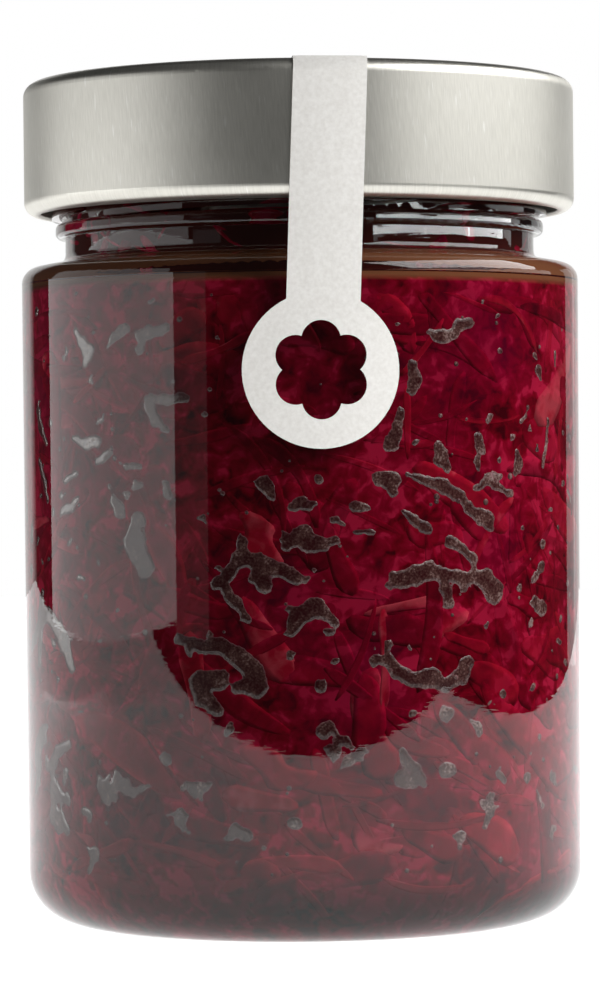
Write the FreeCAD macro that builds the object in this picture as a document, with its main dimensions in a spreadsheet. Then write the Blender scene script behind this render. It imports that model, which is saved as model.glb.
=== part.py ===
"""Shut twist-off preserving jar: glass, steel lid, shredded cabbage and a paper seal.

Frame: origin at the middle of the standing ring, +Z up the jar's axis.
The seal's front disc faces -Y. Sizes are millimetres.
"""
import FreeCAD
import Part
import math
import os
import Sketcher

doc = FreeCAD.newDocument("CabbageJar")

# ---------------------------------------------------------------- driving dimensions
SIZES = [
    ("overall_height", "130.0"),    # floor to the lid's flat top
    # glass body
    ("body_dia", "86.2"),           # just under the shoulder
    ("foot_taper", "0.5"),          # how much less it is across at the foot
    ("wall", "2.7"),                # glass under the shoulder
    ("floor_height", "4.6"),        # inside floor above the table
    ("heel_radius", "8.0"),
    ("cavity_heel_radius", "7.0"),
    ("heel_lift", "0.8"),           # underside of the heel above the table
    ("ring_inset", "10.8"),         # body's side to the standing ring
    ("ring_width", "3.0"),
    ("push_up", "2.4"),             # rise of the underside at its middle
    ("shoulder_drop", "28.75"),     # lid's top down to the shoulder's corner
    ("shoulder_rise", "1.35"),      # how far the shoulder climbs to the neck
    ("shoulder_wall", "3.2"),
    ("shoulder_radius", "2.6"),
    ("cavity_shoulder_radius", "3.0"),
    # neck and its thread, from the standard finish
    ("finish_dia", "73.2"),         # glass between the thread ridges
    ("finish_wall", "3.2"),
    ("neck_step", "0.3"),           # neck inside the finish, on each side
    ("neck_radius", "1.2"),
    ("collar_stand", "1.2"),        # collar under the thread, proud of the finish
    ("collar_drop", "23.9"),        # lid's top down to the collar's underside
    ("collar_width", "2.3"),
    ("collar_radius", "0.85"),
    ("rim_radius", "1.1"),
    ("ridge_stand", "1.8"),         # thread crest proud of the finish
    ("ridge_root", "2.1"),          # width of a ridge where it leaves the glass
    ("ridge_crest", "0.9"),
    ("ridge_drop", "21.3"),         # lid's top down to a ridge's low end
    ("ridge_pitch", "5.6"),         # climb in one full turn
    ("ridge_sink", "0.6"),          # how far a ridge's root reaches into the glass
    # lid
    ("thread_gap", "3.85"),         # thread crest to the lid's wall
    ("lid_height", "20.3"),
    ("lid_steel", "0.35"),
    ("lid_radius", "2.0"),
    ("curl_width", "2.6"),          # rolled lower edge
    ("curl_radius", "2.0"),
    ("curl_lip_radius", "0.5"),     # where the roll turns up inside
    # contents
    ("fill_drop", "18.0"),          # lid's top down to the packed cabbage
    # paper seal
    ("paper", "0.3"),
    ("strip_width", "10.8"),
    ("strip_lean", "2.3"),          # degrees off upright
    ("disc_dia", "22.9"),
    ("disc_drop", "16.65"),          # shoulder's corner down to the disc's middle
    ("petal_dia", "5.8"),           # one round lobe of the cut-out flower
    ("petal_reach", "4.3"),         # flower's middle to a lobe's middle
]

RIDGES = 4              # thread starts round the neck
RIDGE_SECTIONS = 9      # cross-sections along one ridge
RIDGE_SWEEP = 84.0      # degrees covered by one ridge
FIRST_RIDGE = 210.0     # where the first ridge starts, degrees from +X
TIP_HEIGHT = 0.12       # a ridge's end section, as a share of a full one
TIP_WIDTH = 0.47
PETALS = 6

dims = doc.addObject("Spreadsheet::Sheet", "Dims")
for row, (alias, value) in enumerate(SIZES, start=1):
    dims.set(f"A{row}", alias)
    dims.set(f"B{row}", value)
    dims.setAlias(f"B{row}", alias)
doc.recompute()

# Expressions that more than one piece shares.
BODY_R = "Dims.body_dia / 2"
FOOT_R = "(Dims.body_dia - Dims.foot_taper) / 2"
CAVITY_R = "(Dims.body_dia / 2 - Dims.wall)"
FINISH_R = "Dims.finish_dia / 2"
NECK_R = "Dims.finish_dia / 2 - Dims.neck_step"
BORE_R = "(Dims.finish_dia / 2 - Dims.finish_wall)"
LID_R = "(Dims.finish_dia / 2 + Dims.ridge_stand + Dims.thread_gap + Dims.lid_steel)"
LID_TOP = "Dims.overall_height"
LID_UNDERSIDE = "Dims.overall_height - Dims.lid_steel"
LID_BOTTOM = "Dims.overall_height - Dims.lid_height"
SHOULDER_Z = "(Dims.overall_height - Dims.shoulder_drop)"
NECK_Z = f"{SHOULDER_Z} + Dims.shoulder_rise"
INNER_SHOULDER_Z = f"{SHOULDER_Z} - Dims.shoulder_wall"
INNER_NECK_Z = f"{SHOULDER_Z} + Dims.shoulder_rise - Dims.shoulder_wall"
COLLAR_Z = "Dims.overall_height - Dims.collar_drop"
RIDGE_Z = "Dims.overall_height - Dims.ridge_drop"
FILL_Z = "Dims.overall_height - Dims.fill_drop"
DISC_Z = f"({SHOULDER_Z} - Dims.disc_drop)"
WALL_SLOPE = f"({BODY_R} - {FOOT_R}) / ({SHOULDER_Z} - Dims.heel_lift)"


def wall_radius(height):
    """Outside radius of the slightly tapered glass body at a height."""
    return f"{FOOT_R} + ({height} - Dims.heel_lift) * {WALL_SLOPE}"


# ---------------------------------------------------------------- sketch helpers
LEVEL_AXIS = -1      # the sketch's own axes, as constraints number them
UPRIGHT_AXIS = -2


def origin_feature(body, role):
    """The body's own origin plane or axis with this role."""
    return next(item for item in body.Origin.OriginFeatures if item.Role == role)


def new_sketch(body, name, role="XZ_Plane"):
    sketch = body.newObject("Sketcher::SketchObject", name)
    sketch.AttachmentSupport = [(origin_feature(body, role), "")]
    sketch.MapMode = "FlatFace"
    return sketch


def polygon(sketch, corners):
    """Closed outline whose corners sit at (across, up) expressions."""
    count = len(corners)
    first = sketch.GeometryCount
    rough = [math.tau * index / count for index in range(count + 1)]
    for before, after in zip(rough, rough[1:]):
        start = FreeCAD.Vector(math.cos(before) + 2, math.sin(before), 0)
        end = FreeCAD.Vector(math.cos(after) + 2, math.sin(after), 0)
        sketch.addGeometry(Part.LineSegment(start, end), False)
    for index in range(count):
        following = first + (index + 1) % count
        sketch.addConstraint(Sketcher.Constraint("Coincident", first + index, 2, following, 1))
    for index, (across, up) in enumerate(corners):
        for kind, value, axis in (("DistanceX", across, UPRIGHT_AXIS), ("DistanceY", up, LEVEL_AXIS)):
            if value == "0":
                sketch.addConstraint(Sketcher.Constraint("PointOnObject", first + index, 1, axis))
            else:
                bind(sketch, kind, first + index, value)
    doc.recompute()
    return sketch


def bind(sketch, kind, line, expression):
    """Tie a line's start to the origin along one direction."""
    number = sketch.addConstraint(Sketcher.Constraint(kind, -1, 1, line, 1, 1.0))
    sketch.setExpression(f"Constraints[{number}]", expression)


def revolve(body, name, corners):
    """Turned solid; returns its sketch and its feature."""
    sketch = polygon(new_sketch(body, name + "Outline"), corners)
    turned = body.newObject("PartDesign::Revolution", name)
    turned.Profile = sketch
    turned.ReferenceAxis = (sketch, ["V_Axis"])
    turned.Angle = 360.0
    sketch.Visibility = False
    doc.recompute()
    return sketch, turned


def rings_at(feature, sketch, corners):
    """Names of the circular edges that the outline's numbered corners drew."""
    spots = [sketch.Geometry[index].StartPoint for index in corners]
    names = []
    for number, edge in enumerate(feature.Shape.Edges, start=1):
        if not isinstance(edge.Curve, Part.Circle):
            continue
        if abs(edge.Curve.Axis.z) < 0.99:
            continue
        for spot in spots:
            across = abs(edge.Curve.Radius - spot.x)
            up = abs(edge.Curve.Center.z - spot.y)
            if across < 0.001 and up < 0.001:
                names.append(f"Edge{number}")
    return names


def soften(body, name, sketch, corners, radius):
    """Fillet the rings drawn by some of the outline's corners."""
    base = body.Tip
    fillet = body.newObject("PartDesign::Fillet", name)
    fillet.Base = (base, rings_at(base, sketch, corners))
    fillet.setExpression("Radius", radius)
    doc.recompute()
    return fillet


def new_body(label):
    body = doc.addObject("PartDesign::Body", label)
    body.Label = label
    return body


# ---------------------------------------------------------------- glass jar
CAVITY = [
    (BORE_R, INNER_NECK_Z),
    (CAVITY_R, INNER_SHOULDER_Z),
    (CAVITY_R, "Dims.floor_height"),
    ("0", "Dims.floor_height"),
]


def make_ridge(body):
    """One rising thread ridge, lofted through sections that taper at both ends."""
    sections = []
    for index in range(RIDGE_SECTIONS):
        along = index / (RIDGE_SECTIONS - 1)
        at_tip = index in (0, RIDGE_SECTIONS - 1)
        tall = TIP_HEIGHT if at_tip else 1.0
        broad = TIP_WIDTH if at_tip else 1.0
        sketch = new_sketch(body, f"RidgeSection{index}")
        turn = FreeCAD.Rotation(FreeCAD.Vector(0, 1, 0), FIRST_RIDGE + RIDGE_SWEEP * along)
        sketch.AttachmentOffset = FreeCAD.Placement(FreeCAD.Vector(0, 0, 0), turn)
        climb = f"{RIDGE_Z} + Dims.ridge_pitch * {RIDGE_SWEEP * along / 360.0:.6f}"
        inner = f"{FINISH_R} - Dims.ridge_sink"
        crest = f"{FINISH_R} + Dims.ridge_stand * {tall}"
        root_half = f"Dims.ridge_root / 2 * {broad}"
        crest_half = f"Dims.ridge_crest / 2 * {broad}"
        polygon(sketch, [
            (inner, f"{climb} - {root_half}"),
            (crest, f"{climb} - {crest_half}"),
            (crest, f"{climb} + {crest_half}"),
            (inner, f"{climb} + {root_half}"),
        ])
        sketch.Visibility = False
        sections.append(sketch)
    ridge = body.newObject("PartDesign::AdditiveLoft", "Ridge")
    ridge.Profile = sections[0]
    ridge.Sections = sections[1:]
    ridge.Ruled = False
    ridge.Closed = False
    doc.recompute()
    return ridge


def make_glass():
    body = new_body("jar_glass")
    ring_r = f"{BODY_R} - Dims.ring_inset"
    ring_inner = f"{ring_r} - Dims.ring_width"
    collar_r = f"{FINISH_R} + Dims.collar_stand"
    collar_top = f"{COLLAR_Z} + Dims.collar_width"
    sketch, _ = revolve(body, "Glass", [
        ("0", "Dims.push_up"),
        (ring_inner, "Dims.heel_lift"),
        (ring_inner, "0"),
        (ring_r, "0"),
        (ring_r, "Dims.heel_lift"),
        (FOOT_R, "Dims.heel_lift"),
        (BODY_R, SHOULDER_Z),
        (NECK_R, NECK_Z),
        (NECK_R, COLLAR_Z),
        (collar_r, COLLAR_Z),
        (collar_r, collar_top),
        (FINISH_R, collar_top),
        (FINISH_R, LID_UNDERSIDE),
        (BORE_R, LID_UNDERSIDE),
        *CAVITY,
    ])
    soften(body, "Heel", sketch, [5], "Dims.heel_radius")
    soften(body, "Shoulder", sketch, [6], "Dims.shoulder_radius")
    soften(body, "NeckFoot", sketch, [7], "Dims.neck_radius")
    soften(body, "Collar", sketch, [9, 10], "Dims.collar_radius")
    soften(body, "Rim", sketch, [12, 13], "Dims.rim_radius")
    soften(body, "InnerShoulder", sketch, [14, 15], "Dims.cavity_shoulder_radius")
    soften(body, "InnerHeel", sketch, [16], "Dims.cavity_heel_radius")
    ridge = make_ridge(body)
    thread = body.newObject("PartDesign::PolarPattern", "Thread")
    thread.Originals = [ridge]
    thread.Axis = (origin_feature(body, "Z_Axis"), [""])
    thread.Angle = 360.0
    thread.Occurrences = RIDGES
    body.Tip = thread
    doc.recompute()
    return body


# ---------------------------------------------------------------- packed cabbage
def make_contents():
    """Fills the cavity, face to face with the glass, up into the neck."""
    body = new_body("cabbage_fill")
    sketch, _ = revolve(body, "Contents", [
        ("0", FILL_Z),
        (BORE_R, FILL_Z),
        *CAVITY,
    ])
    soften(body, "ContentsShoulder", sketch, [2, 3], "Dims.cavity_shoulder_radius")
    soften(body, "ContentsHeel", sketch, [4], "Dims.cavity_heel_radius")
    return body


# ---------------------------------------------------------------- lid
def make_lid():
    """Drawn steel cap with a rounded top edge and a rolled lower edge."""
    body = new_body("lid")
    inner_r = f"{LID_R} - Dims.lid_steel"
    curl_r = f"{LID_R} - Dims.curl_width"
    curl_top = f"{LID_BOTTOM} + Dims.curl_width"
    sketch, _ = revolve(body, "Cap", [
        ("0", LID_TOP),
        (LID_R, LID_TOP),
        (LID_R, LID_BOTTOM),
        (curl_r, LID_BOTTOM),
        (curl_r, curl_top),
        (inner_r, curl_top),
        (inner_r, LID_UNDERSIDE),
        ("0", LID_UNDERSIDE),
    ])
    soften(body, "TopEdge", sketch, [1], "Dims.lid_radius")
    soften(body, "InnerTopEdge", sketch, [6], "Dims.lid_radius - Dims.lid_steel")
    soften(body, "Curl", sketch, [2], "Dims.curl_radius")
    soften(body, "CurlLip", sketch, [3, 4], "Dims.curl_lip_radius")
    return body


# ---------------------------------------------------------------- paper seal
THROUGH = "Dims.body_dia * 2"    # long enough to pass right through the jar


def along_y(name, radius, across, up):
    """Cylinder that runs right through the jar from front to back."""
    rod = doc.addObject("Part::Cylinder", name)
    rod.setExpression("Radius", radius)
    rod.setExpression("Height", THROUGH)
    rod.Placement = FreeCAD.Placement(FreeCAD.Vector(0, 0, 0), FreeCAD.Rotation(FreeCAD.Vector(1, 0, 0), 90))
    rod.setExpression("Placement.Base.x", across)
    rod.setExpression("Placement.Base.y", f"{THROUGH} / 2")
    rod.setExpression("Placement.Base.z", up)
    return rod


def fuse(name, shapes):
    joined = doc.addObject("Part::MultiFuse", name)
    joined.Shapes = shapes
    return joined


def make_wrap():
    """Paper-thick skin over the lid, across the neck gap and down the glass."""
    body = new_body("seal_wrap")
    lowest = f"({DISC_Z} - Dims.disc_dia / 2 - Dims.paper)"
    end_r = wall_radius(lowest)
    sketch, _ = revolve(body, "Wrap", [
        ("0", LID_TOP),
        (LID_R, LID_TOP),
        (LID_R, LID_BOTTOM),
        (BODY_R, SHOULDER_Z),
        (end_r, lowest),
        (f"{end_r} + Dims.paper", lowest),
        (f"{BODY_R} + Dims.paper", SHOULDER_Z),
        (f"{LID_R} + Dims.paper", LID_BOTTOM),
        (f"{LID_R} + Dims.paper", f"{LID_TOP} + Dims.paper"),
        ("0", f"{LID_TOP} + Dims.paper"),
    ])
    soften(body, "WrapInside", sketch, [1], "Dims.lid_radius")
    soften(body, "WrapOutside", sketch, [8], "Dims.lid_radius + Dims.paper")
    return body


def make_strip():
    """Leaning slab whose lower end is the middle of the disc."""
    strip = doc.addObject("Part::Box", "SealStrip")
    strip.setExpression("Length", "Dims.strip_width")
    strip.setExpression("Width", THROUGH)
    strip.setExpression("Height", "Dims.overall_height")
    strip.Placement = FreeCAD.Placement(FreeCAD.Vector(0, 0, 0), FreeCAD.Rotation(FreeCAD.Vector(0, 1, 0), 1))
    strip.setExpression("Placement.Rotation.Angle", "Dims.strip_lean * 1 deg")
    strip.setExpression("Placement.Base.x", "-cos(Dims.strip_lean * 1 deg) * Dims.strip_width / 2")
    strip.setExpression("Placement.Base.y", f"-{THROUGH} / 2")
    strip.setExpression(
        "Placement.Base.z",
        f"{DISC_Z} + sin(Dims.strip_lean * 1 deg) * Dims.strip_width / 2",
    )
    return strip


def make_flower():
    """Cut-out of round lobes about a round middle."""
    rods = [along_y("FlowerMiddle", "Dims.petal_dia / 2", "0", DISC_Z)]
    for index in range(PETALS):
        angle = f"{90.0 + 360.0 * index / PETALS:.1f} deg"
        rods.append(along_y(
            f"FlowerLobe{index}",
            "Dims.petal_dia / 2",
            f"cos({angle}) * Dims.petal_reach",
            f"{DISC_Z} + sin({angle}) * Dims.petal_reach",
        ))
    return fuse("Flower", rods)


def make_seal():
    """Strip over the lid with a round disc stuck to the glass at each end."""
    wrap = make_wrap()
    disc = along_y("SealDisc", "Dims.disc_dia / 2", "0", DISC_Z)
    outline = fuse("SealOutline", [make_strip(), disc])
    flower = make_flower()
    band = doc.addObject("Part::MultiCommon", "SealBand")
    band.Shapes = [wrap, outline]
    seal = doc.addObject("Part::Cut", "seal")
    seal.Base = band
    seal.Tool = flower
    seal.Label = "seal"
    doc.recompute()
    return seal


# ---------------------------------------------------------------- build, check, write
nodes = [make_glass(), make_contents(), make_lid(), make_seal()]
doc.recompute()

for item in doc.Objects:
    faults = [state for state in item.State if state in ("Invalid", "Error")]
    if faults:
        raise RuntimeError(f"{item.Label} is {faults}")
for node in nodes:
    if node.Shape.isNull() or not node.Shape.isValid():
        raise RuntimeError(f"{node.Label} has no valid shape")
    if len(node.Shape.Solids) != 1:
        raise RuntimeError(f"{node.Label} has {len(node.Shape.Solids)} solids")

os.makedirs("parts", exist_ok=True)
for node in nodes:
    node.Shape.exportStep(f"parts/{node.Label}.step")
    box = node.Shape.BoundBox
    print(
        f"{node.Label}: {node.Shape.Volume / 1000.0:.1f} cm3,"
        f" z {box.ZMin:.2f} to {box.ZMax:.2f}, x {box.XMin:.2f} to {box.XMax:.2f}"
    )
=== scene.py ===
"""Visual model of the shut jar of fermented red cabbage. Metres, +Z up, standing on z = 0."""
import math
import random

import bpy
import numpy
from mathutils import Euler, Matrix, Vector, noise


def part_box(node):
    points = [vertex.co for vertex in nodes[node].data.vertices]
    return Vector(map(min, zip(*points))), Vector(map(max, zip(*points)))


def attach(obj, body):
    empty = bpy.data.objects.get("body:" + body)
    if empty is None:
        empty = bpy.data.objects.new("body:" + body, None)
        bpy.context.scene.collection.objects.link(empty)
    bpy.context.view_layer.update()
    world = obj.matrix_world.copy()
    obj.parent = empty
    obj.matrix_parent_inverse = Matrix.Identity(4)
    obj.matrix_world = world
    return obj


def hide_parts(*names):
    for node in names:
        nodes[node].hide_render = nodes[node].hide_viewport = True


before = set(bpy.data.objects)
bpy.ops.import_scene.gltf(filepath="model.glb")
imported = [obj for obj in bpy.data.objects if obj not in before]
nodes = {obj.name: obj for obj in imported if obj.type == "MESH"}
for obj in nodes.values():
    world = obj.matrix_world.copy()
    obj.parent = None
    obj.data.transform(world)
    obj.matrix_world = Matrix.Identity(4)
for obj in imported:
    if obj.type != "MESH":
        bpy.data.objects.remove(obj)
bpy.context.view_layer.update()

MM = 0.001

# ---------------------------------------------------------------- sizes
LID_LOW, LID_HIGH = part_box("lid")
FILL_LOW, FILL_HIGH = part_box("cabbage_fill")
LID_R = (LID_HIGH.x - LID_LOW.x) / 2
CAVITY_R = (FILL_HIGH.x - FILL_LOW.x) / 2

# The cavity's turned profile, which the cabbage presses against.
NECK_BORE_R = 33.4 * MM
CAVITY_FLOOR = FILL_LOW.z
CAVITY_HEEL = 7.0 * MM
CAVITY_SHOULDER = 98.05 * MM
SHOULDER_TURN = 3.0 * MM
FILL_TOP = FILL_HIGH.z
INTO_WALL = 0.15 * MM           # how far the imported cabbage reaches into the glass

SHRED_COUNT = 760
SHRED_CUTS = 9                  # short lengths that a shred bends over
STRAY_POCKET_COUNT = 250
BUBBLE_COUNT = 260
AIR_STAND = 0.95                # millimetres from the cavity's wall to the face of trapped air
AIR_THICK = 0.3                 # millimetres


def tidy_up():
    """Leave edit mode and deselect everything."""
    if bpy.context.mode != "OBJECT":
        bpy.ops.object.mode_set(mode="OBJECT")
    bpy.ops.object.select_all(action="DESELECT")


def take_up(piece):
    """Make one piece the only selected and active one."""
    tidy_up()
    piece.select_set(True)
    bpy.context.view_layer.objects.active = piece


# ---------------------------------------------------------------- materials
# A Mix node has a set of sockets for each kind of value: these are the ones in use.
SHARE, FIRST_VECTOR, SECOND_VECTOR, FIRST_COLOUR, SECOND_COLOUR = 0, 4, 5, 6, 7
MIXED_VECTOR, MIXED_COLOUR = 1, 2


def linear(code):
    """sRGB hex colour to linear RGBA."""
    parts = [int(code[i:i + 2], 16) / 255 for i in (1, 3, 5)]
    return [c / 12.92 if c <= 0.04045 else ((c + 0.055) / 1.055) ** 2.4 for c in parts] + [1.0]


def node(tree, kind, links=None, values=None, stops=None, **settings):
    """Add a node with its settings, the values and links of its sockets and a ramp's colour stops."""
    made = tree.nodes.new(kind)
    for name, value in settings.items():
        setattr(made, name, value)
    for socket, value in (values or {}).items():
        made.inputs[socket].default_value = value
    for socket, source in (links or {}).items():
        tree.links.new(source, made.inputs[socket])
    if stops:
        ramp = made.color_ramp.elements
        for element, (place, code) in zip((ramp[0], ramp[1]), (stops[0], stops[-1])):
            element.position = place
            element.color = linear(code)
        for place, code in stops[1:-1]:
            ramp.new(place).color = linear(code)
    return made


def new_material(name, values):
    """Material with one surface shader, whose sockets get these values. Returns it, its tree and shader."""
    material = bpy.data.materials.new(name)
    material.use_nodes = True
    tree = material.node_tree
    tree.nodes.clear()
    shader = node(tree, "ShaderNodeBsdfPrincipled", values=values)
    node(tree, "ShaderNodeOutputMaterial", {"Surface": shader.outputs["BSDF"]})
    return material, tree, shader


def dress(piece, material):
    """Give every slot of a piece this material."""
    if not piece.material_slots:
        piece.data.materials.append(material)
    for place in piece.material_slots:
        place.material = material


def moulded_soda_lime_glass():
    """Machine-blown soda-lime glass: clear and glossy, with faint level ripples from the mould."""
    material, tree, shader = new_material("moulded_soda_lime_glass", {
        "Base Color": linear("#FAFCF9"), "Roughness": 0.0, "IOR": 1.5, "Transmission Weight": 1.0,
    })
    place = node(tree, "ShaderNodeTexCoord").outputs["Object"]
    # Ripples about 5 mm long and 0.75 mm high, over swells about 22 mm across.
    level = node(tree, "ShaderNodeMapping", {"Vector": place}, {"Scale": (1.0, 1.0, 7.0)})
    ripple = node(
        tree, "ShaderNodeTexNoise", {"Vector": level.outputs["Vector"]}, {"Scale": 190.0, "Detail": 2.0},
    )
    swell = node(tree, "ShaderNodeTexNoise", {"Vector": place}, {"Scale": 45.0, "Detail": 1.0})
    fine = node(
        tree, "ShaderNodeBump", {"Height": ripple.outputs["Fac"]},
        {"Strength": 1.0, "Distance": 0.0016 * MM},
    )
    broad = node(
        tree, "ShaderNodeBump", {"Height": swell.outputs["Fac"], "Normal": fine.outputs["Normal"]},
        {"Strength": 1.0, "Distance": 0.008 * MM},
    )
    tree.links.new(broad.outputs["Normal"], shader.inputs["Normal"])
    return material


def brushed_tinplate():
    """Satin tinplate: fine short grain, upright on the wall and straight across the top."""
    material, tree, shader = new_material("brushed_tinplate", {"Metallic": 1.0, "Anisotropic": 0.55})
    place = node(tree, "ShaderNodeTexCoord").outputs["Object"]
    split = node(tree, "ShaderNodeSeparateXYZ", {"Vector": place})
    facing = node(tree, "ShaderNodeNewGeometry")
    upward = node(tree, "ShaderNodeSeparateXYZ", {"Vector": facing.outputs["Normal"]})
    on_top = node(
        tree, "ShaderNodeMath", {0: upward.outputs["Z"]}, {1: 0.7}, operation="GREATER_THAN",
    ).outputs[0]
    # The wall unrolled: distance round it, counted both ways from the front, with a lean of 1 in 12.
    front = node(tree, "ShaderNodeMath", {0: split.outputs["Y"]}, {1: -1.0}, operation="MULTIPLY")
    angle = node(
        tree, "ShaderNodeMath", {0: split.outputs["X"], 1: front.outputs[0]}, operation="ARCTAN2",
    )
    arc = node(tree, "ShaderNodeMath", {0: angle.outputs[0]}, {1: LID_R}, operation="MULTIPLY")
    lean = node(
        tree, "ShaderNodeMath", {0: split.outputs["Z"], 2: arc.outputs[0]}, {1: 0.08},
        operation="MULTIPLY_ADD",
    )
    wall = node(tree, "ShaderNodeCombineXYZ", {"X": lean.outputs[0], "Y": split.outputs["Z"]})
    sheet = node(
        tree, "ShaderNodeMix",
        {SHARE: on_top, FIRST_VECTOR: wall.outputs["Vector"], SECOND_VECTOR: place},
        data_type="VECTOR",
    ).outputs[MIXED_VECTOR]
    # Grain about 0.2 mm wide and 3 mm long, and sparse scratches 0.4 mm wide and 4 mm long.
    grain_place = node(tree, "ShaderNodeMapping", {"Vector": sheet}, {"Scale": (4600.0, 330.0, 1.0)})
    grain = node(
        tree, "ShaderNodeTexNoise", {"Vector": grain_place.outputs["Vector"]}, {"Scale": 1.0, "Detail": 3.0},
    ).outputs["Fac"]
    scratch_place = node(
        tree, "ShaderNodeMapping", {"Vector": sheet},
        {"Scale": (2600.0, 260.0, 1.0), "Location": (7.0, 3.0, 0.0)},
    )
    scratch = node(
        tree, "ShaderNodeTexNoise", {"Vector": scratch_place.outputs["Vector"]},
        {"Scale": 1.0, "Detail": 1.0},
    )
    sparse = node(
        tree, "ShaderNodeMapRange", {"Value": scratch.outputs["Fac"]}, {"From Min": 0.66, "From Max": 0.78},
    )
    tint = node(
        tree, "ShaderNodeValToRGB", {"Fac": grain}, stops=[(0.28, "#C4C2BA"), (0.72, "#D2D0C8")],
    )
    steel = node(
        tree, "ShaderNodeMix", {SHARE: sparse.outputs["Result"], FIRST_COLOUR: tint.outputs["Color"]},
        {SECOND_COLOUR: linear("#DCDBD6")}, data_type="RGBA",
    )
    tree.links.new(steel.outputs[MIXED_COLOUR], shader.inputs["Base Color"])
    # Cloudy sheen in patches of about 11 mm.
    cloud = node(tree, "ShaderNodeTexNoise", {"Vector": place}, {"Scale": 90.0, "Detail": 3.0})
    rough = node(
        tree, "ShaderNodeMapRange", {"Value": cloud.outputs["Fac"]}, {"To Min": 0.34, "To Max": 0.43},
    )
    tree.links.new(rough.outputs["Result"], shader.inputs["Roughness"])
    bump = node(tree, "ShaderNodeBump", {"Height": grain}, {"Strength": 1.0, "Distance": 0.006 * MM})
    tree.links.new(bump.outputs["Normal"], shader.inputs["Normal"])
    round_wall = node(tree, "ShaderNodeTangent", direction_type="RADIAL", axis="Z")
    turn = node(
        tree, "ShaderNodeMix", {SHARE: on_top, FIRST_VECTOR: round_wall.outputs["Tangent"]},
        {SECOND_VECTOR: (1.0, 0.0, 0.0)}, data_type="VECTOR",
    )
    tree.links.new(turn.outputs[MIXED_VECTOR], shader.inputs["Tangent"])
    return material


def uncoated_label_paper():
    """White uncoated paper, slightly warm, with short fibres that show as a soft mottle."""
    material, tree, shader = new_material("uncoated_label_paper", {"Roughness": 0.85})
    place = node(tree, "ShaderNodeTexCoord").outputs["Object"]
    # Fibres about 0.6 mm long.
    fibre = node(
        tree, "ShaderNodeTexNoise", {"Vector": place}, {"Scale": 1600.0, "Detail": 4.0},
    ).outputs["Fac"]
    tint = node(
        tree, "ShaderNodeValToRGB", {"Fac": fibre}, stops=[(0.25, "#DEDBD6"), (0.75, "#EDEBE7")],
    )
    tree.links.new(tint.outputs["Color"], shader.inputs["Base Color"])
    bump = node(tree, "ShaderNodeBump", {"Height": fibre}, {"Strength": 0.4, "Distance": 0.03 * MM})
    tree.links.new(bump.outputs["Normal"], shader.inputs["Normal"])
    return material


def leaf_patches(tree, place, sway_scale, turn, size):
    """Random tone for each of a bed of long leaf pieces, with wavering soft outlines."""
    sway = node(tree, "ShaderNodeTexNoise", {"Vector": place}, {"Scale": sway_scale, "Detail": 3.0})
    push = node(
        tree, "ShaderNodeVectorMath", {0: sway.outputs["Color"]}, {1: (10 * MM, 10 * MM, 10 * MM)},
        operation="MULTIPLY",
    )
    moved = node(tree, "ShaderNodeVectorMath", {0: place, 1: push.outputs[0]}, operation="ADD")
    tipped = node(
        tree, "ShaderNodeMapping", {"Vector": moved.outputs[0]}, {"Rotation": turn, "Scale": size},
        vector_type="TEXTURE",
    )
    cells = node(
        tree, "ShaderNodeTexVoronoi", {"Vector": tipped.outputs["Vector"]}, {"Scale": 1.0},
        feature="SMOOTH_F1",
    )
    cells.inputs["Smoothness"].default_value = 0.3
    return node(tree, "ShaderNodeSeparateColor", {"Color": cells.outputs["Color"]}).outputs["Red"]


def pressed_leaf_colour(tree, place):
    """Colour of the pressed mass: overlapping leaf pieces blurred by crimson juice."""
    # Leaf pieces about 13 mm by 4 mm and 7 mm by 3 mm, tipped both ways.
    broad = leaf_patches(tree, place, 150.0, (0.5, 0.4, 0.2), (13 * MM, 13 * MM, 4 * MM))
    narrow = leaf_patches(tree, place, 175.0, (-0.6, -0.5, 0.1), (7 * MM, 7 * MM, 2.6 * MM))
    # Flecks of about 2.4 mm, and drifts of about 26 mm towards violet.
    small = node(
        tree, "ShaderNodeTexNoise", {"Vector": place}, {"Scale": 420.0, "Detail": 5.0, "Distortion": 0.8},
    )
    large = node(tree, "ShaderNodeTexNoise", {"Vector": place}, {"Scale": 38.0, "Detail": 2.0})
    both = node(tree, "ShaderNodeMath", {0: broad, 1: narrow}, operation="ADD")
    tone = node(
        tree, "ShaderNodeMath", {0: both.outputs[0], 2: small.outputs["Fac"]}, {1: 0.32},
        operation="MULTIPLY_ADD",
    )
    depth = node(
        tree, "ShaderNodeValToRGB", {"Fac": tone.outputs[0]},
        stops=[(0.50, "#44000C"), (0.73, "#7E0018"), (0.90, "#980428"), (1.0, "#BE1A40")],
    )
    drift = node(
        tree, "ShaderNodeMapRange", {"Value": large.outputs["Fac"]},
        {"From Min": 0.45, "From Max": 0.72, "To Max": 0.5},
    )
    return node(
        tree, "ShaderNodeMix", {SHARE: drift.outputs["Result"], FIRST_COLOUR: depth.outputs["Color"]},
        {SECOND_COLOUR: linear("#780030")}, data_type="RGBA",
    ).outputs[MIXED_COLOUR]


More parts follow.
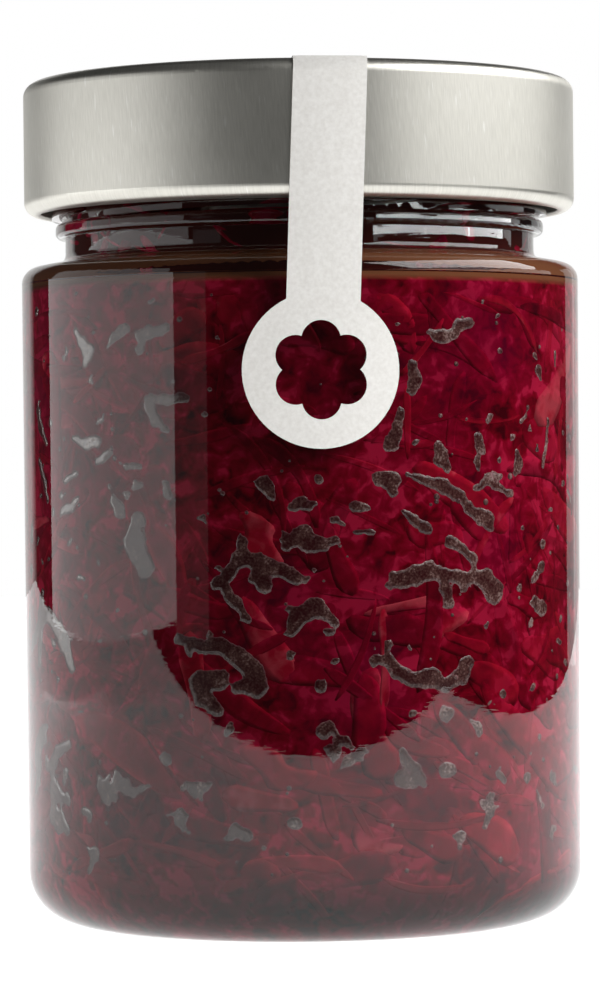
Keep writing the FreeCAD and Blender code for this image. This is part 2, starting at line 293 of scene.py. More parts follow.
def juice_packed_cabbage():
    """Leaf pieces pressed together in dark crimson juice; brown where the jar narrows, and darker up in the
    neck as painted shade under the lid.
    """
    material, tree, shader = new_material("juice_packed_cabbage", {
        "Roughness": 0.6, "Specular IOR Level": 0.0,
    })
    place = node(tree, "ShaderNodeTexCoord").outputs["Object"]
    height = node(tree, "ShaderNodeSeparateXYZ", {"Vector": place}).outputs["Z"]
    neck = node(tree, "ShaderNodeMapRange", {"Value": height}, {
        "From Min": CAVITY_SHOULDER - 0.4 * MM, "From Max": CAVITY_SHOULDER + 0.6 * MM,
    })
    # Brown on the shoulder, darker up in the neck; the darker neck is painted shade under the lid.
    above = node(tree, "ShaderNodeMapRange", {"Value": height}, {
        "From Min": CAVITY_SHOULDER + 1.4 * MM, "From Max": CAVITY_SHOULDER + 3.0 * MM,
    })
    shoulder_brown_neck_shade = node(
        tree, "ShaderNodeMix", {SHARE: above.outputs["Result"]},
        {FIRST_COLOUR: linear("#885438"), SECOND_COLOUR: linear("#4E1C18")}, data_type="RGBA",
    )
    packed = node(tree, "ShaderNodeMix", {
        SHARE: neck.outputs["Result"],
        FIRST_COLOUR: pressed_leaf_colour(tree, place),
        SECOND_COLOUR: shoulder_brown_neck_shade.outputs[MIXED_COLOUR],
    }, data_type="RGBA")
    tree.links.new(packed.outputs[MIXED_COLOUR], shader.inputs["Base Color"])
    return material


def wet_cabbage_shred():
    """Shredded leaf dyed by its juice: each shred its own red, lost in the juice where it lies deeper, with
    painted highlights along its long edges.
    """
    material, tree, shader = new_material("wet_cabbage_shred", {
        "Roughness": 0.55, "Specular IOR Level": 0.0,
    })
    place = node(tree, "ShaderNodeTexCoord").outputs["Object"]
    tone = node(tree, "ShaderNodeAttribute", attribute_name="tone")
    near = node(tree, "ShaderNodeAttribute", attribute_name="near_wall")
    # Mottle of about 3 mm along each leaf.
    grain = node(
        tree, "ShaderNodeTexNoise", {"Vector": place}, {"Scale": 300.0, "Detail": 5.0, "Distortion": 0.6},
    )
    level = node(
        tree, "ShaderNodeMath", {0: grain.outputs["Fac"], 2: tone.outputs["Fac"]}, {1: 0.7},
        operation="MULTIPLY_ADD",
    )
    # The tone attribute also carries painted highlights along the shreds' long edges, which reach the
    # lightest stops.
    leaf = node(
        tree, "ShaderNodeValToRGB", {"Fac": level.outputs[0]},
        stops=[(0.3, "#480010"), (0.62, "#900020"), (0.85, "#B4142C"), (1.0, "#D84E5C")],
    )
    seen = node(tree, "ShaderNodeMath", {0: near.outputs["Fac"]}, {1: 0.62}, operation="MULTIPLY")
    shown = node(tree, "ShaderNodeMix", {
        SHARE: seen.outputs[0],
        FIRST_COLOUR: pressed_leaf_colour(tree, place),
        SECOND_COLOUR: leaf.outputs["Color"],
    }, data_type="RGBA")
    tree.links.new(shown.outputs[MIXED_COLOUR], shader.inputs["Base Color"])
    return material


def trapped_air():
    """Air pressed flat on the glass: it mirrors like the glass, over wet greyish brown specks, with painted
    light towards the right and a painted highlight round its outline.
    """
    material, tree, shader = new_material("trapped_air", {"Roughness": 0.06, "Specular IOR Level": 0.35})
    place = node(tree, "ShaderNodeTexCoord").outputs["Object"]
    # Droplets about 0.3 mm across, in patches of 2.4 mm; lighter towards the right as painted light from the
    # lamps on that side.
    speck = node(tree, "ShaderNodeTexNoise", {"Vector": place}, {"Scale": 2900.0, "Detail": 2.0})
    patch = node(
        tree, "ShaderNodeTexNoise", {"Vector": place}, {"Scale": 420.0, "Detail": 3.0},
    ).outputs["Fac"]
    side = node(tree, "ShaderNodeSeparateXYZ", {"Vector": place})
    right_side_light = node(
        tree, "ShaderNodeMath", {0: side.outputs["X"], 2: patch}, {1: 2.6}, operation="MULTIPLY_ADD",
    )
    both = node(
        tree, "ShaderNodeMix", {"A": speck.outputs["Fac"], "B": right_side_light.outputs[0]}, {SHARE: 0.55},
    )
    tint = node(
        tree, "ShaderNodeValToRGB", {"Fac": both.outputs[0]},
        stops=[(0.40, "#360C10"), (0.49, "#482827"), (0.57, "#62403C"), (0.66, "#9A7C78")],
    )
    # Painted highlight: a pale pink line along the outline of each pocket and bubble, broken up by the
    # patches.
    rim_highlight = node(tree, "ShaderNodeAttribute", attribute_name="rim_highlight")
    broken = node(tree, "ShaderNodeMath", {0: rim_highlight.outputs["Fac"], 1: patch}, operation="MULTIPLY")
    edged = node(
        tree, "ShaderNodeMix", {SHARE: broken.outputs[0], FIRST_COLOUR: tint.outputs["Color"]},
        {SECOND_COLOUR: linear("#A8707A")}, data_type="RGBA",
    )
    tree.links.new(edged.outputs[MIXED_COLOUR], shader.inputs["Base Color"])
    return material


def lit_opal_table():
    """Opal acrylic table top with lamps under it, as used to keep shadows off pale grounds."""
    return new_material("lit_opal_table", {
        "Base Color": linear("#8A8A8A"), "Roughness": 0.9, "Specular IOR Level": 0.1,
        "Emission Color": linear("#FFFFFF"), "Emission Strength": 1.25,
    })[0]


# ---------------------------------------------------------------- packed cabbage
def cavity_radius(height):
    """Inside radius of the glass at a height, where the cabbage presses on it."""
    if height < CAVITY_FLOOR + CAVITY_HEEL:
        below = CAVITY_FLOOR + CAVITY_HEEL - height
        return CAVITY_R - CAVITY_HEEL + math.sqrt(max(CAVITY_HEEL ** 2 - below ** 2, 0.0))
    if height > CAVITY_SHOULDER + 1.0 * MM:
        return NECK_BORE_R
    if height > CAVITY_SHOULDER - SHOULDER_TURN:
        above = height - (CAVITY_SHOULDER - SHOULDER_TURN)
        return CAVITY_R - SHOULDER_TURN + math.sqrt(max(SHOULDER_TURN ** 2 - above ** 2, 0.0))
    return CAVITY_R


def turn_up(name, rings, around=160):
    """Solid of revolution: a disc extruded upwards ring by ring. Rings are (radius, height)."""
    tidy_up()
    radius, height = rings[0]
    bpy.ops.mesh.primitive_circle_add(
        vertices=around, radius=radius, fill_type="NGON", location=(0, 0, height),
    )
    piece = bpy.context.object
    piece.name = piece.data.name = name
    bpy.ops.object.transform_apply(location=True, rotation=False, scale=False)
    bpy.ops.object.mode_set(mode="EDIT")
    bpy.ops.mesh.select_all(action="SELECT")
    for (was_r, was_z), (next_r, next_z) in zip(rings, rings[1:]):
        bpy.ops.mesh.extrude_region_move(TRANSFORM_OT_translate={"value": (0, 0, next_z - was_z)})
        grow = next_r / was_r
        bpy.ops.transform.resize(value=(grow, grow, 1.0), center_override=(0, 0, next_z))
    bpy.ops.mesh.select_all(action="SELECT")
    bpy.ops.mesh.normals_make_consistent(inside=False)
    tidy_up()
    return piece


def make_core():
    """The pressed mass of cabbage and juice, just into the glass all round."""
    heel = [CAVITY_FLOOR + CAVITY_HEEL * (1 - math.cos(math.radians(a))) for a in range(10, 90, 10)]
    wall = [CAVITY_FLOOR + CAVITY_HEEL + i * 6 * MM for i in range(14)]
    heights = [CAVITY_FLOOR] + heel + wall
    rings = [(cavity_radius(z) + INTO_WALL, z - (INTO_WALL if z == CAVITY_FLOOR else 0)) for z in heights]
    corner_r = CAVITY_R + INTO_WALL
    top = CAVITY_SHOULDER + INTO_WALL
    rings += [
        (corner_r, top - 0.9 * MM),
        (corner_r - 0.12 * MM, top - 0.45 * MM),
        (corner_r - 0.45 * MM, top - 0.12 * MM),
        (corner_r - 0.9 * MM, top),
        (NECK_BORE_R + 0.7 * MM, top + 1.2 * MM),
        (NECK_BORE_R + INTO_WALL, top + 1.9 * MM),
        (NECK_BORE_R + INTO_WALL, FILL_TOP - 1.0 * MM),
        (NECK_BORE_R - 0.7 * MM, FILL_TOP),
    ]
    core = turn_up("cabbage_core", rings)
    take_up(core)
    bpy.ops.object.shade_smooth_by_angle(angle=math.radians(50))
    return core


def wrap(along, height, proud):
    """Point on the cavity's wall: distance round it, height, and how far into the glass."""
    radius = cavity_radius(height) + proud
    angle = along / CAVITY_R
    return Vector((radius * math.cos(angle), radius * math.sin(angle), height))


def shred_blank():
    """One straight shred, 1 long, 1 wide and 1 thick, with softened edges, cut into short lengths."""
    tidy_up()
    bpy.ops.mesh.primitive_cube_add(size=1.0, location=(0, 0, 0))
    blank = bpy.context.object
    bpy.ops.object.mode_set(mode="EDIT")
    bpy.ops.mesh.select_all(action="SELECT")
    bpy.ops.mesh.bevel(offset=0.2, segments=1, affect="EDGES")
    for cut in range(1, SHRED_CUTS):
        place = -0.5 + cut / SHRED_CUTS
        bpy.ops.mesh.select_all(action="SELECT")
        bpy.ops.mesh.bisect(plane_co=(place, 0, 0), plane_no=(1, 0, 0))
    bpy.ops.mesh.select_all(action="SELECT")
    bpy.ops.mesh.bisect(plane_co=(0, 0, 0), plane_no=(0, 1, 0))
    tidy_up()
    shape = [v.co.copy() for v in blank.data.vertices]
    faces = [list(f.vertices) for f in blank.data.polygons]
    bpy.data.objects.remove(blank)
    return shape, faces


def make_shreds():
    """Shreds pressed on the glass, each bent, tipped and sunk in its own way, as one mesh."""
    chance = random.Random(11)
    shape, faces = shred_blank()
    points, skins, tones_with_edge_highlight, nearness = [], [], [], []
    for number in range(SHRED_COUNT):
        in_neck = number % 14 == 0
        broad = number % 5 < 2                  # two in five are cut broad
        start = chance.uniform(0, math.tau) * CAVITY_R
        height = chance.uniform(101.5, 110.0) * MM if in_neck else chance.uniform(6.0, 96.5) * MM
        length = chance.triangular(6, 24, 10) * MM * (0.5 if in_neck else 1)
        width = (chance.uniform(3.0, 6.5) if broad else chance.uniform(0.8, 2.4)) * MM
        if in_neck:
            width *= 0.5
        thick = chance.uniform(0.06, 0.1) * MM
        slant = chance.gauss(-0.35, 0.75)
        bend = chance.gauss(0.0, 34.0)          # turn per metre of length, in radians
        depth = chance.uniform(-0.03, 0.16) * MM
        roll = chance.gauss(0.0, 0.02)
        waves = chance.uniform(0.6, 1.6)
        wave = chance.uniform(0.0, 0.05) * MM
        phase = chance.uniform(0, math.tau)
        skew = chance.gauss(0.0, 0.5)           # slant of the cut ends
        tone = min(max(chance.gauss(0.26, 0.16), 0.0), 0.65)
        base = len(points)
        for p in shape:
            swell = 0.82 + 0.18 * math.sin(waves * 5 * p.x + phase)
            blunt = min(1.0, 0.45 + 5.0 * (0.5 - abs(p.x)))
            side = p.y * width * swell * blunt
            run = p.x * length + side * skew
            turn = bend * run / 2
            x = run * math.cos(turn) - side * math.sin(turn)
            z = run * math.sin(turn) + side * math.cos(turn)
            along = x * math.cos(slant) - z * math.sin(slant)
            up = x * math.sin(slant) + z * math.cos(slant)
            proud = depth + p.z * thick + side * roll + wave * math.sin(waves * math.tau * p.x + phase)
            level = min(max(height + up, CAVITY_FLOOR + 0.5 * MM), FILL_TOP - 1 * MM)
            if in_neck:
                level = max(level, CAVITY_SHOULDER + 3.0 * MM)
            else:
                level = min(level, CAVITY_SHOULDER - 0.2 * MM)
            proud = min(proud, 0.6 * MM) + INTO_WALL
            points.append(wrap(start + along, level, proud))
            # Painted highlight: the tone is raised along each shred's long edges.
            edge_highlight = abs(p.y) * 2 * abs(math.sin(phase))
            tones_with_edge_highlight.append(tone + 0.16 * edge_highlight ** 3)
            tilt = 2.2 * p.y * math.cos(phase)      # one long edge fades into the juice
            nearness.append(min(max((proud - INTO_WALL) / (0.12 * MM) + tilt, 0.0), 1.0))
        skins += [[base + i for i in face] for face in faces]
    mesh = bpy.data.meshes.new("cabbage_shreds")
    mesh.from_pydata(points, [], skins)
    store(mesh, "tone", tones_with_edge_highlight)
    store(mesh, "near_wall", nearness)
    return adopt(mesh)


def store(mesh, name, values):
    """Keep one number for each point of a mesh."""
    column = mesh.attributes.new(name, "FLOAT", "POINT")
    column.data.foreach_set("value", values)


def adopt(mesh):
    """Put a mesh in the scene as a smooth piece with its faces outwards."""
    piece = bpy.data.objects.new(mesh.name, mesh)
    bpy.context.collection.objects.link(piece)
    take_up(piece)
    bpy.ops.object.mode_set(mode="EDIT")
    bpy.ops.mesh.select_all(action="SELECT")
    bpy.ops.mesh.normals_make_consistent(inside=False)
    tidy_up()
    take_up(piece)
    bpy.ops.object.shade_smooth()
    return piece


# Air pockets that stand out in front. Each is a run of (bearing from the seal in degrees,
# height in mm, half width in mm); a pocket that forks is two or more runs.
FRONT_POCKETS = [
    [(15, 54, 1.3), (19, 54.5, 1.5), (22, 55.3, 1.3), (25.5, 54.5, 1.1), (32, 54, 0.9), (36, 54, 1.5),
     (38, 52, 2.0)],
    [(25.5, 54.5, 0.8), (25.8, 52.5, 0.9), (26.6, 50.5, 1.0)],
    [(33, 54.8, 0.8), (32.8, 56.5, 0.7), (30.2, 58.2, 0.7), (27.3, 59.4, 1.0)],
    [(10.6, 42.4, 0.9), (13, 42.4, 0.9), (15, 40.7, 1.1), (18.5, 39.3, 1.1), (22.5, 39.5, 1.5),
     (25.8, 38.3, 0.9), (29.3, 39.4, 1.2), (31, 41.3, 1.3)],
    [(-30, 45.6, 0.7), (-25, 44.6, 1.0), (-20.6, 44.6, 1.2), (-17, 42.9, 1.5), (-14.2, 40.9, 1.6),
     (-13.2, 38.6, 1.5), (-17.2, 38.4, 1.0)],
    [(-21, 39.6, 1.5), (-25, 39.2, 1.7), (-24.4, 37.2, 1.5), (-21.8, 35.3, 1.1)],
    [(-21.5, 53.6, 0.9), (-19, 54.9, 0.9), (-16.4, 57.3, 1.2), (-13, 56.9, 1.2), (-9.5, 55.9, 1.1),
     (-6, 54.9, 1.1), (-5, 53.9, 0.6)],
    [(-15.9, 57.6, 1.0), (-16.1, 59.6, 0.7), (-16.4, 60.6, 0.3)],
    [(-13, 54.6, 1.3), (-11.5, 53.2, 1.1)],
    [(-19.5, 52.9, 0.9), (-17.5, 50.9, 0.9), (-15, 48.6, 0.4)],
    [(-7, 59.2, 0.9), (-4, 60.5, 1.5), (-2.6, 59.5, 1.5), (0.4, 59.3, 0.9), (2.6, 59.8, 0.6)],
    [(-6.7, 46.6, 0.8), (-4.7, 48.9, 1.4), (-1.7, 50.2, 1.3), (0.2, 49.2, 1.1), (2.2, 47.8, 0.6)],
    [(11.4, 68.7, 1.0), (14, 68.4, 1.5), (14.5, 67, 0.7)],
    [(17.6, 69.3, 0.4), (22, 68.3, 0.8), (25.7, 67.6, 1.1), (29, 66.2, 1.0), (32, 64.2, 0.8),
     (36.3, 62.5, 1.4), (37.6, 61.1, 0.6)],
    [(16.5, 64, 0.4), (19, 62.7, 0.8), (21.8, 61.3, 1.0)],
    [(24.7, 73.6, 0.8), (25.2, 71.7, 1.2), (26.4, 70.3, 0.7)],
    [(34.3, 74.4, 0.9), (34.9, 73.2, 0.8), (34.2, 71.3, 0.4), (34.2, 69.9, 0.3)],
    [(45.5, 72.6, 0.4), (46, 70.8, 1.0), (44.9, 69.3, 0.5)],
    [(33.4, 67.2, 0.6), (36.8, 68.3, 0.8), (39.5, 67.3, 0.6), (43.5, 66.2, 0.6)],
    [(14, 73.7, 1.2)], [(51, 50, 1.0), (54.3, 48.9, 1.2)], [(-11.3, 68.2, 1.1), (-9.8, 66.2, 0.6)],
    [(-6, 64.8, 0.7), (-3.5, 65.5, 0.8)], [(6.4, 64.8, 0.9), (9.4, 64.4, 0.4)], [(-0.5, 68.6, 0.7)],
    [(2.4, 62.8, 0.6), (4.3, 62.1, 0.3)], [(6.3, 61.1, 0.3), (10.3, 60.9, 0.4)], [(0.2, 32.2, 1.3)],
    [(25.8, 34.1, 1.3)], [(-0.4, 38.9, 1.0)], [(-6.5, 43.3, 0.7)], [(40.4, 36.8, 0.7)],
    [(51, 53.4, 0.7), (54.5, 55.7, 0.7)], [(54.6, 58.8, 0.7)], [(47.3, 61, 0.4)],
    [(-56.7, 91.2, 0.4), (-54.7, 89.5, 0.9), (-52.3, 88.1, 1.1), (-53.3, 86.3, 0.7)],
    [(-46.8, 88.5, 0.3), (-44.7, 90, 0.7), (-41.7, 91.1, 0.9)],
    [(-38.6, 90.1, 0.8), (-35.5, 90.5, 0.9), (-32.1, 91.1, 0.9)], [(-37, 90, 0.8), (-38.2, 87.8, 0.8)],
    [(-35.6, 80.6, 0.8), (-32.3, 80.6, 0.7), (-27.9, 80.8, 0.8)],
    [(-35.8, 80.5, 0.8), (-35.7, 78.9, 0.9), (-34.2, 77.3, 0.8), (-31.6, 76, 0.4)],
    [(-57.6, 75.2, 0.5), (-53.6, 74.3, 1.0), (-49.8, 74.5, 0.8), (-50.2, 75.6, 0.3)],
    [(-49.8, 71.6, 0.7), (-46.3, 72.9, 0.7)], [(-42.1, 70.8, 0.5), (-38.9, 70.9, 0.6)],
    [(-61.6, 68.6, 0.3), (-57.2, 69.9, 0.6)], [(-62.3, 64.3, 0.8), (-58.3, 65, 0.7), (-56.2, 66.4, 0.3)],
    [(-45.5, 66.1, 0.8), (-43.8, 64.5, 1.3)], [(-73.6, 79.3, 0.8), (-72.1, 76.7, 0.8), (-69.1, 74.6, 0.4)],
    [(-73, 71.7, 0.7), (-70, 68, 0.5), (-68.7, 65.9, 0.5)], [(-32.4, 68.5, 0.5), (-31.7, 66.8, 0.8)],
    [(-51.2, 98, 0.8)], [(-73.9, 94.6, 0.8)], [(-56.6, 97, 0.4)],
    [(22.5, 90.1, 0.4), (25, 89.4, 1.0), (27.7, 89.7, 0.8), (30, 91, 0.9), (32.4, 91.5, 0.9)],
    [(53.2, 84.7, 0.9), (54.4, 83.3, 0.3)], [(49.2, 79, 0.3), (48.7, 78, 0.3), (46.7, 76.9, 0.3)],
    [(57.3, 77.6, 0.3), (56.6, 74.2, 0.4), (54.9, 70.3, 0.4)], [(40.2, 71.2, 0.45)],
    [(18.8, 85.2, 0.7), (19.5, 83.4, 1.0), (18.8, 81.6, 0.8)], [(16.3, 78.5, 0.6), (14.8, 74.5, 1.0)],
    [(60.9, 87.3, 0.3), (60.9, 85.5, 0.3)], [(31.3, 77.3, 0.3)], [(40.7, 87.5, 0.35)], [(68.7, 76.3, 0.35)],
    [(65.2, 78.8, 0.3)], [(72.5, 91.9, 0.4)], [(68.3, 66.5, 0.4), (70.2, 65.1, 0.3)],
    [(-74.7, 41.3, 0.8), (-73.5, 47, 1.0), (-72.1, 51.9, 0.7)],
    [(-73, 48, 1.2), (-69, 48.5, 1.2), (-65.3, 46.8, 1.4), (-62, 44.5, 1.6), (-59.4, 40.9, 0.9)],
    [(-60.9, 29.3, 0.8), (-65, 28, 1.0), (-68, 25.8, 1.1), (-67.5, 21.5, 0.9), (-67.1, 18.2, 1.6),
     (-65, 16.6, 1.2)],
    [(-64, 18.5, 1.0), (-61.5, 16.3, 0.7)],
    [(-39, 63, 1.3), (-40, 59.5, 1.9), (-37.5, 56, 1.6)],
    [(16, 25, 1.4), (18, 24.6, 1.2)], [(26, 26, 1.4)], [(-6, 19, 1.0)], [(48, 24, 0.8)], [(-33, 28, 1.1)],
]
SEAL_BEARING = -math.pi / 2        # the seal's front faces -Y
ROUND_WALL = CAVITY_R / MM         # millimetres along the wall for one radian
AIR_GRID = 0.30                    # millimetres between the points of a pocket's skin
AIR_LOW, AIR_HIGH = 7.0, 98.0      # millimetres: heights between which air is trapped
AIR_EDGE = 0.1                     # millimetres: width of a pocket's rounded rim
JOINING = 0.5                      # millimetres over which two runs flow into each other


def wandering_pocket(chance, along, height, length, width, slant):
    """Runs of (distance, height, half width) for one pocket that wanders and may fork."""
    heading = math.radians(slant)
    runs = [[]]
    x, z, travelled, drift = along, height, 0.0, 0.0
    while travelled < length:
        taper = 0.45 + 0.55 * math.sin(math.pi * min(travelled / length, 1.0)) ** 0.5
        half = width / 2 * taper * chance.uniform(0.7, 1.15)
        runs[0].append((x, z, half))
        if chance.random() < 0.3:
            fork = heading + drift + chance.choice((-1, 1)) * chance.uniform(0.8, 1.7)
            reach = chance.uniform(0.7, 1.6) * width
            tip = (x + math.cos(fork) * reach, z + math.sin(fork) * reach, half * 0.4)
            runs.append([(x, z, half * 0.8), tip])
        drift = 0.6 * drift + chance.gauss(0, 0.5)
        step = width * 0.7
        x += math.cos(heading + drift) * step
        z += math.sin(heading + drift) * step
        travelled += step
    return runs


def pocket_runs():
    """All runs, unrolled: distance round the wall, height and half width, in millimetres."""
    chance = random.Random(23)
    runs = []
    for run in FRONT_POCKETS:
        runs.append([((SEAL_BEARING + math.radians(b)) * ROUND_WALL, z, half) for b, z, half in run])
    for number in range(STRAY_POCKET_COUNT):
        bearing = chance.uniform(-math.pi, math.pi)
        height = chance.uniform(14, 95)
        behind = abs(bearing) > math.radians(78)        # larger pockets at the sides and back
        low = height < 34
        if behind and number % 3 == 0:
            length, width = chance.uniform(5, 15), chance.uniform(1.8, 3.2)
        elif behind or low:
            length, width = chance.triangular(1.0, 7, 2.5), chance.uniform(0.9, 2.4)
        else:
            length, width = chance.triangular(0.4, 2.6, 0.7), chance.uniform(0.4, 0.9)
        along = (SEAL_BEARING + bearing) * ROUND_WALL
        runs += wandering_pocket(chance, along, height, length, width, chance.gauss(20, 50))
    return runs


def pocket_field(runs):
    """Depth inside the nearest pocket's outline at each grid point, negative outside."""
    around = round(math.tau * ROUND_WALL / AIR_GRID)
    up = round((AIR_HIGH - AIR_LOW) / AIR_GRID)
    pitch = math.tau * ROUND_WALL / around
    field = numpy.full((around, up), -9.0)      # far outside any pocket
    for run in runs:
        ends = run[1:] if len(run) > 1 else run
        for (x0, z0, r0), (x1, z1, r1) in zip(run, ends):
            reach = max(r0, r1) + 1.0
            i0 = math.floor((min(x0, x1) - reach) / pitch)
            i1 = math.ceil((max(x0, x1) + reach) / pitch)
            j0 = max(math.floor((min(z0, z1) - reach - AIR_LOW) / AIR_GRID), 1)
            j1 = min(math.ceil((max(z0, z1) + reach - AIR_LOW) / AIR_GRID), up - 2)
            if j1 <= j0:
                continue
            columns = numpy.arange(i0, i1)
            x = columns[:, None] * pitch
            z = AIR_LOW + numpy.arange(j0, j1)[None, :] * AIR_GRID
            dx, dz = x1 - x0, z1 - z0
            share = ((x - x0) * dx + (z - z0) * dz) / max(dx * dx + dz * dz, 1e-6)
            share = numpy.clip(share, 0.0, 1.0)
            away = numpy.hypot(x - x0 - share * dx, z - z0 - share * dz)
            inside = r0 + (r1 - r0) * share - away
            rows = columns % around
            old = field[rows, j0:j1]
            # Soft joining, so that runs which meet flow into each other.
            blend = numpy.clip(0.5 + 0.5 * (inside - old) / JOINING, 0.0, 1.0)
            field[rows, j0:j1] = old * (1 - blend) + inside * blend + JOINING * blend * (1 - blend)
    # Uneven outlines: waves about 1.5 mm long, and ones of about 0.5 mm on them.
    for i, j in zip(*numpy.nonzero(field > -0.7)):
        spot = Vector((i * pitch, j * AIR_GRID, 0.0))
        wave = 0.42 * noise.noise(spot / 1.5)
        field[i, j] += wave + 0.22 * noise.noise(spot / 0.55 + Vector((9, 0, 0)))
    return field, pitch


def make_pockets():
    """Air pockets squeezed flat between cabbage and glass, as one mesh with sharp outlines."""
    field, pitch = pocket_field(pocket_runs())
    around, up = field.shape
    points, rim_highlights, skins, known = [], [], [], {}

    def point(key, i, j, depth):
        """Number of the point at this place of the grid, made when it is first asked for."""
        if key not in known:
            known[key] = len(points)
            rise = min(depth / AIR_EDGE, 1.0)
            proud = AIR_STAND - 0.05 * (1 - rise)
            points.append(wrap(i * pitch * MM, (AIR_LOW + j * AIR_GRID) * MM, proud * MM))
            # Painted highlight along the outline, full at the edge and fading across the rounded edge.
            rim_highlights.append(1.0 - rise)
        return known[key]

    # Each square of the grid gives the part of it that lies inside the outline.
    full = field > 0
    touched = full | numpy.roll(full, -1, 0)
    touched[:, :-1] |= touched[:, 1:]
    for i, j in zip(*numpy.nonzero(touched[:, :-1])):
        corners = [(i, j), (i + 1, j), (i + 1, j + 1), (i, j + 1)]
        values = [field[a % around, b] for a, b in corners]
        outline = []
        for k in range(4):
            (a, b), (c, d) = corners[k], corners[(k + 1) % 4]
            here, there = values[k], values[(k + 1) % 4]
            if here > 0:
                outline.append(point((a % around, b), a, b, here))
            if (here > 0) != (there > 0):
                share = here / (here - there)
                ends = tuple(sorted([(a % around, b), (c % around, d)]))
                outline.append(point(ends, a + (c - a) * share, b + (d - b) * share, 0.0))
        if len(outline) > 2:
            skins.append(outline)
    mesh = bpy.data.meshes.new("air_pockets")
    mesh.from_pydata(points, [], skins)
    store(mesh, "rim_highlight", rim_highlights)
    piece = bpy.data.objects.new("air_pockets", mesh)
    bpy.context.collection.objects.link(piece)
    take_up(piece)
    bpy.ops.object.modifier_add(type="SOLIDIFY")
    piece.modifiers[0].thickness = AIR_THICK * MM
    piece.modifiers[0].offset = -1.0
    bpy.ops.object.modifier_apply(modifier=piece.modifiers[0].name)
    bpy.ops.object.shade_smooth_by_angle(angle=math.radians(60))
    return piece


def make_bubbles():
    """Tiny round bubbles on the glass."""
    chance = random.Random(5)
    tidy_up()
    bpy.ops.mesh.primitive_ico_sphere_add(subdivisions=2, radius=1.0, location=(0, 0, 0))
    one = bpy.context.object
    shape = [v.co.copy() for v in one.data.vertices]
    faces = [list(f.vertices) for f in one.data.polygons]
    bpy.data.objects.remove(one)
    points, skins, rim_highlights = [], [], []
    for _ in range(BUBBLE_COUNT):
        start = chance.uniform(0, math.tau) * CAVITY_R
        height = chance.uniform(9, 96) * MM
        size = chance.triangular(0.15, 0.6, 0.22) * MM
        base = len(points)
        for p in shape:
            proud = AIR_STAND * MM + p.z * 0.35 * size
            points.append(wrap(start + p.x * size, height + p.y * size, proud))
            # Painted highlight round each bubble's outline.
            rim_highlights.append(1.0 - abs(p.z))
        skins += [[base + i for i in face] for face in faces]
    mesh = bpy.data.meshes.new("juice_bubbles")
    mesh.from_pydata(points, [], skins)
    store(mesh, "rim_highlight", rim_highlights)
    return adopt(mesh)


core = make_core()
shreds = make_shreds()
pockets = make_pockets()
bubbles = make_bubbles()

dress(core, juice_packed_cabbage())
dress(shreds, wet_cabbage_shred())
air = trapped_air()
dress(pockets, air)
dress(bubbles, air)
for piece in (core, shreds, pockets, bubbles):
    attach(piece, "root")
# Juice and leaf let light through, so what lies on the glass casts no shadow on the rest.
for piece in (shreds, pockets, bubbles):
    piece.visible_shadow = False
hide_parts("cabbage_fill")

# ---------------------------------------------------------------- glass, lid and seal
dress(nodes["jar_glass"], moulded_soda_lime_glass())
dress(nodes["lid"], brushed_tinplate())
dress(nodes["seal"], uncoated_label_paper())
nodes["jar_glass"].visible_shadow = False      # lamps reach the cabbage through the glass

# ---------------------------------------------------------------- table
TABLE_FRONT, TABLE_BACK = -0.415, 1.6
TABLE_LEFT, TABLE_RIGHT = -1.0, 0.55

tidy_up()
bpy.ops.mesh.primitive_plane_add(
    size=1.0,
    location=((TABLE_LEFT + TABLE_RIGHT) / 2, (TABLE_FRONT + TABLE_BACK) / 2, 0),
)
table = bpy.context.object
table.name = "table_top"
bpy.ops.transform.resize(value=(TABLE_RIGHT - TABLE_LEFT, TABLE_BACK - TABLE_FRONT, 1))
bpy.ops.object.transform_apply(location=True, rotation=True, scale=True)
dress(table, lit_opal_table())

# ---------------------------------------------------------------- light
CAMERA_BEARING = -4.0           # the camera stands 4 degrees left of the seal
HIGH_WIDE, HIGH_TALL = 1.3, 0.62


def area_lamp(name, place, aim, wide, tall, brightness):
    """Rectangular softbox of this radiance, hidden from the camera, facing a point."""
    bpy.ops.object.light_add(type="AREA", location=place)
    lamp = bpy.context.object
    lamp.name = name
    lamp.data.shape = "RECTANGLE"
    lamp.data.size = wide
    lamp.data.size_y = tall
    lamp.data.energy = brightness * math.pi * wide * tall
    lamp.rotation_euler = (aim - place).to_track_quat("-Z", "Y").to_euler()
    lamp.visible_camera = False
    return lamp


def panel(name, bearing, distance, low, high, wide, brightness):
    """Upright softbox facing the jar. Bearing in degrees from the camera's side, positive to the right."""
    angle = math.radians(CAMERA_BEARING + bearing)
    place = Vector((math.sin(angle), -math.cos(angle), 0)) * distance
    place.z = (low + high) / 2
    return area_lamp(name, place, Vector((0, 0, place.z)), wide, high - low, brightness)


# A bent strip of lamps just above the glass gives the neck its narrow highlight.
for number, bearing in enumerate((48.5, 75.5, 101.5), start=1):
    panel(f"strip_right_{number}", bearing, 0.70, 0.1438, 0.1505, 0.34, 9.0)
panel("scrim_right", 80, 0.71, 0.155, 0.300, 1.40, 1.3)
panel("card_left", -87, 0.60, 0.0186, 0.142, 0.87, 1.65)
panel("card_edge", -44, 0.60, 0.0186, 0.142, 0.147, 0.17)
fill = panel("fill_left", -110, 0.62, 0.0, 0.20, 0.50, 4.5)
fill.visible_glossy = False     # lights the cabbage at the left without a mirror image in the glass
panel("card_behind_right", 146, 0.80, 0.0, 0.30, 0.20, 0.55)
panel("scrim_left", -87, 0.61, 0.142, 0.40, 0.80, 0.85)

# Large softbox high on the right, tipped down at the jar.
high_bearing = math.radians(CAMERA_BEARING + 80)
high_place = Vector((math.sin(high_bearing), -math.cos(high_bearing), 0.86)) * 0.75
area_lamp("softbox_high_right", high_place, Vector((0, 0, 0.06)), HIGH_WIDE, HIGH_TALL, 5.5)

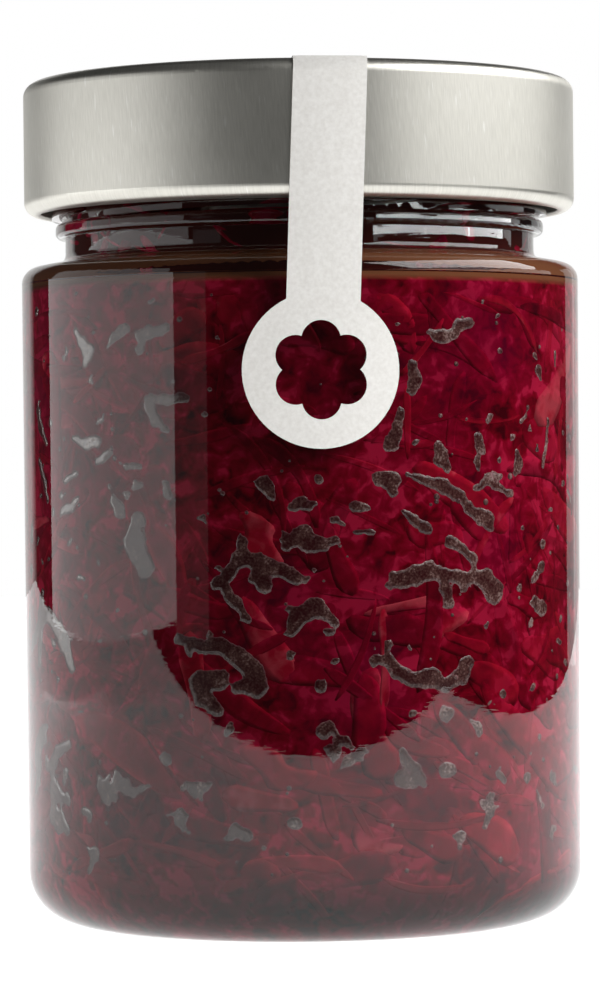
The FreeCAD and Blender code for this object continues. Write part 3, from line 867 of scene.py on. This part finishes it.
world = bpy.data.worlds.new("studio")
bpy.context.scene.world = world
world.use_nodes = True
sky = world.node_tree
sky.nodes.clear()
ray = node(sky, "ShaderNodeLightPath")
way = node(sky, "ShaderNodeTexCoord")
axes = node(sky, "ShaderNodeSeparateXYZ", {"Vector": way.outputs["Generated"]})
# The room in front of the table is dark, and the backdrop behind it is pale grey.
backdrop = node(sky, "ShaderNodeValToRGB", {"Fac": axes.outputs["Y"]})
dark_end, pale_end = backdrop.color_ramp.elements
dark_end.position = 0.84
dark_end.color = (0.03, 0.03, 0.03, 1)
pale_end.position = 0.90
pale_end.color = (0.80, 0.80, 0.79, 1)
room = node(sky, "ShaderNodeBackground", {"Color": backdrop.outputs["Color"]}, {"Strength": 1.0})
white = node(sky, "ShaderNodeBackground", values={"Color": (1, 1, 1, 1), "Strength": 1.0})
seen = node(sky, "ShaderNodeMixShader", {
    0: ray.outputs["Is Camera Ray"], 1: room.outputs[0], 2: white.outputs[0],
})
node(sky, "ShaderNodeOutputWorld", {"Surface": seen.outputs[0]})

scene = bpy.context.scene
scene.view_settings.view_transform = "Standard"
scene.view_settings.look = "None"
scene.cycles.caustics_refractive = False
scene.cycles.caustics_reflective = False
scene.cycles.sample_clamp_indirect = 8.0

# ---------------------------------------------------------------- camera
EYE_HEIGHT = 70.4 * MM
EYE_DISTANCE = 623.5 * MM
AIM_DOWN = 0.457                # degrees below level
AIM_RIGHT = -0.026              # degrees to the right of the jar's axis
ROLL = -0.54                    # the jar leans a little to the left in the frame
camera_data = bpy.data.cameras.new("camera")
camera_data.lens = 144.4
camera_data.sensor_width = 36.0
camera_data.clip_start = 0.02
camera_data.clip_end = 20.0
camera = bpy.data.objects.new("camera", camera_data)
bpy.context.collection.objects.link(camera)
stand = math.radians(CAMERA_BEARING)
camera.location = (math.sin(stand) * EYE_DISTANCE, -math.cos(stand) * EYE_DISTANCE, EYE_HEIGHT)
camera.rotation_euler = (
    Euler((math.radians(90 - AIM_DOWN), 0, stand - math.radians(AIM_RIGHT))).to_matrix()
    @ Matrix.Rotation(math.radians(ROLL), 3, "Z")
).to_euler()
scene.camera = camera

# ---------------------------------------------------------------- close
tidy_up()
